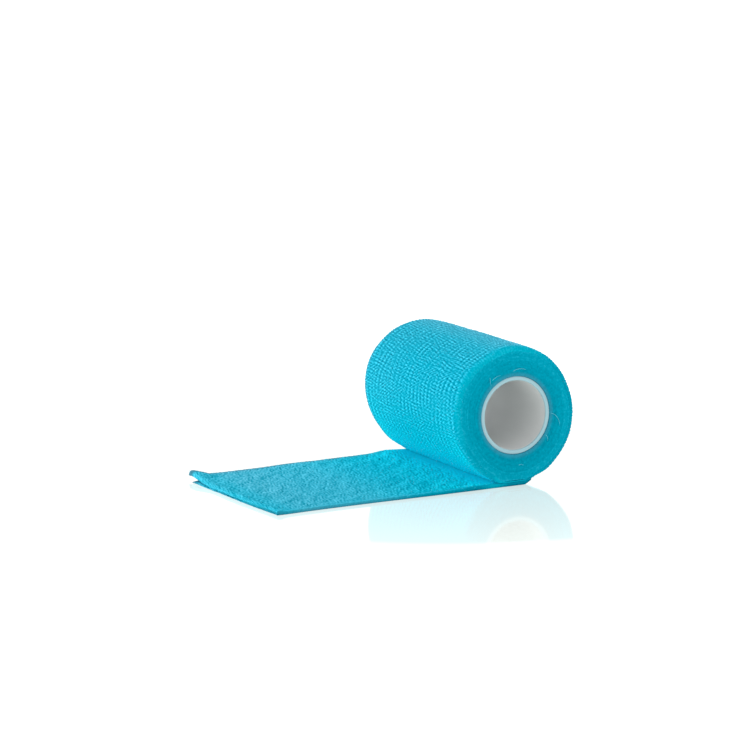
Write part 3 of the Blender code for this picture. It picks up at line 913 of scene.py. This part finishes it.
routes = []
share = np.linspace(0, 1, FIBRE_STEPS + 1)[:, None]
for places in END_FIBRES:
    first, middle, last = np.array(places) * MM
    bend = (4 * middle - first - last) * share * (1 - share)
    bent = first * (1 - share) ** 2 + bend + last * share**2
    off = STRIP_WIDTH / 2 + (0.05 + 1.3 * share * (1 - share)) * MM
    routes.append(np.concatenate((bent[:, :1], -off, bent[:, 1:]), axis=1))
chance = np.random.default_rng(FIBRE_SEED)
far_edge = shown[:, -4]
for row in chance.integers(lip_from + CORNER_ROWS[0], lip_from + CORNER_ROWS[1], CORNER_FIBRES):
    towards = np.array([chance.uniform(*limits) for limits in FIBRE_LEANS])
    bend = np.array((chance.uniform(-0.4, 0.4), 0.2, -0.3))
    length = chance.uniform(0.5, 1.1) * MM
    root = far_edge[row] - FIBRE_HOLD * towards
    routes.append(root + (share * towards + share**2 * bend) * length)


def filaments(routes, sides, thickness):
    """Points and faces of thin tubes along these routes, tapered to half at their free ends."""
    run = np.gradient(routes, axis=1)
    run /= np.linalg.norm(run, axis=2)[..., None]
    beside = np.cross(run, (0.37, 0.53, 0.76))
    beside /= np.linalg.norm(beside, axis=2)[..., None]
    above = np.cross(run, beside)
    turned = np.arange(sides)[:, None] * 2 * np.pi / sides
    rings = beside[:, :, None] * np.cos(turned) + above[:, :, None] * np.sin(turned)
    taper = np.linspace(1.0, 0.5, routes.shape[1])[:, None, None] * thickness / 2
    points = routes[:, :, None] + taper * rings
    numbers = np.arange(points.size // 3).reshape(points.shape[:3])
    faces = numbers[:, 0].tolist() + numbers[:, -1].tolist()
    for tube in np.concatenate((numbers, numbers[:, :, :1]), axis=2):
        faces += grid_faces(tube)
    return points.reshape(-1, 3), faces


def nap(seed, roots, facing, longest):
    """Short bent hairs that stand on these points of the cloth."""
    chance = np.random.default_rng(seed)
    lean = facing + chance.normal(0, 0.7, roots.shape)
    lean /= np.linalg.norm(lean, axis=1)[:, None]
    bend = chance.normal(0, 0.35, roots.shape) - 0.2 * facing
    length = chance.uniform(0.4, 1.0, (len(roots), 1, 1)) * longest
    share = np.linspace(0, 1, NAP_STEPS + 1)[:, None]
    hair = (share * lean[:, None] + share**2 * bend[:, None]) * length
    routes = (roots - FIBRE_HOLD * facing)[:, None] + hair
    off_table = NAP_THICKNESS * (0.6 + share[:, 0])
    routes[..., 2] = np.maximum(routes[..., 2], off_table)
    return routes


chance = np.random.default_rng(HAIR_SEED)
shows = (roll_degrees > ROLL_HAIRS_SHOW[0]) & (roll_degrees < ROLL_HAIRS_SHOW[1])
rows = chance.choice(np.flatnonzero(shows), ROLL_HAIRS)
columns = chance.integers(1, ACROSS_COUNT - 1, ROLL_HAIRS)
hairs = [nap(HAIR_SEED + 1, roll_surface[rows, columns], roll_facing[rows, columns], NAP_LENGTH)]
rows = chance.integers(UNDER_COUNT + END_HAIR_ROWS, lip_from + END_HAIR_ROWS, END_HAIRS)
columns = chance.integers(1, LOOSE_ACROSS - 1, END_HAIRS)
sideways = np.sign(share_across[columns] - 0.5) * (1 - edge_round[0, columns])
upwards = np.stack((np.zeros(END_HAIRS), sideways, 0.2 + edge_round[0, columns]), -1)
hairs.append(nap(HAIR_SEED + 2, shown[rows, columns], upwards, NAP_LENGTH))
points, faces = filaments(np.array(routes), FIBRE_SIDES, FIBRE_THICKNESS)
hair_points, hair_faces = filaments(np.concatenate(hairs), NAP_SIDES, NAP_THICKNESS)
faces += [[number + len(points) for number in face] for face in hair_faces]
points = np.concatenate((points, hair_points))
stray_fibres = make_cloth("stray_fibres", points, faces)
filament = bpy.data.materials.new("loose filament")
filament.use_nodes = True
nodes, links = filament.node_tree.nodes, filament.node_tree.links
surface = nodes["Principled BSDF"]
surface.inputs["Roughness"].default_value = 0.5
surface.inputs["Specular IOR Level"].default_value = 0.3
place = nodes.new("ShaderNodeTexCoord")
patchy = nodes.new("ShaderNodeTexNoise")
patchy.inputs["Scale"].default_value = 900
links.new(place.outputs["Object"], patchy.inputs["Vector"])
tone = nodes.new("ShaderNodeMix")
tone.data_type = "RGBA"
tone.inputs["A"].default_value = FILAMENT_COLOUR
tone.inputs["B"].default_value = FILAMENT_LIGHT
links.new(patchy.outputs["Fac"], tone.inputs["Factor"])
links.new(tone.outputs["Result"], surface.inputs["Base Color"])
stray_fibres.data.materials.append(filament)
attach(stray_fibres, "root")
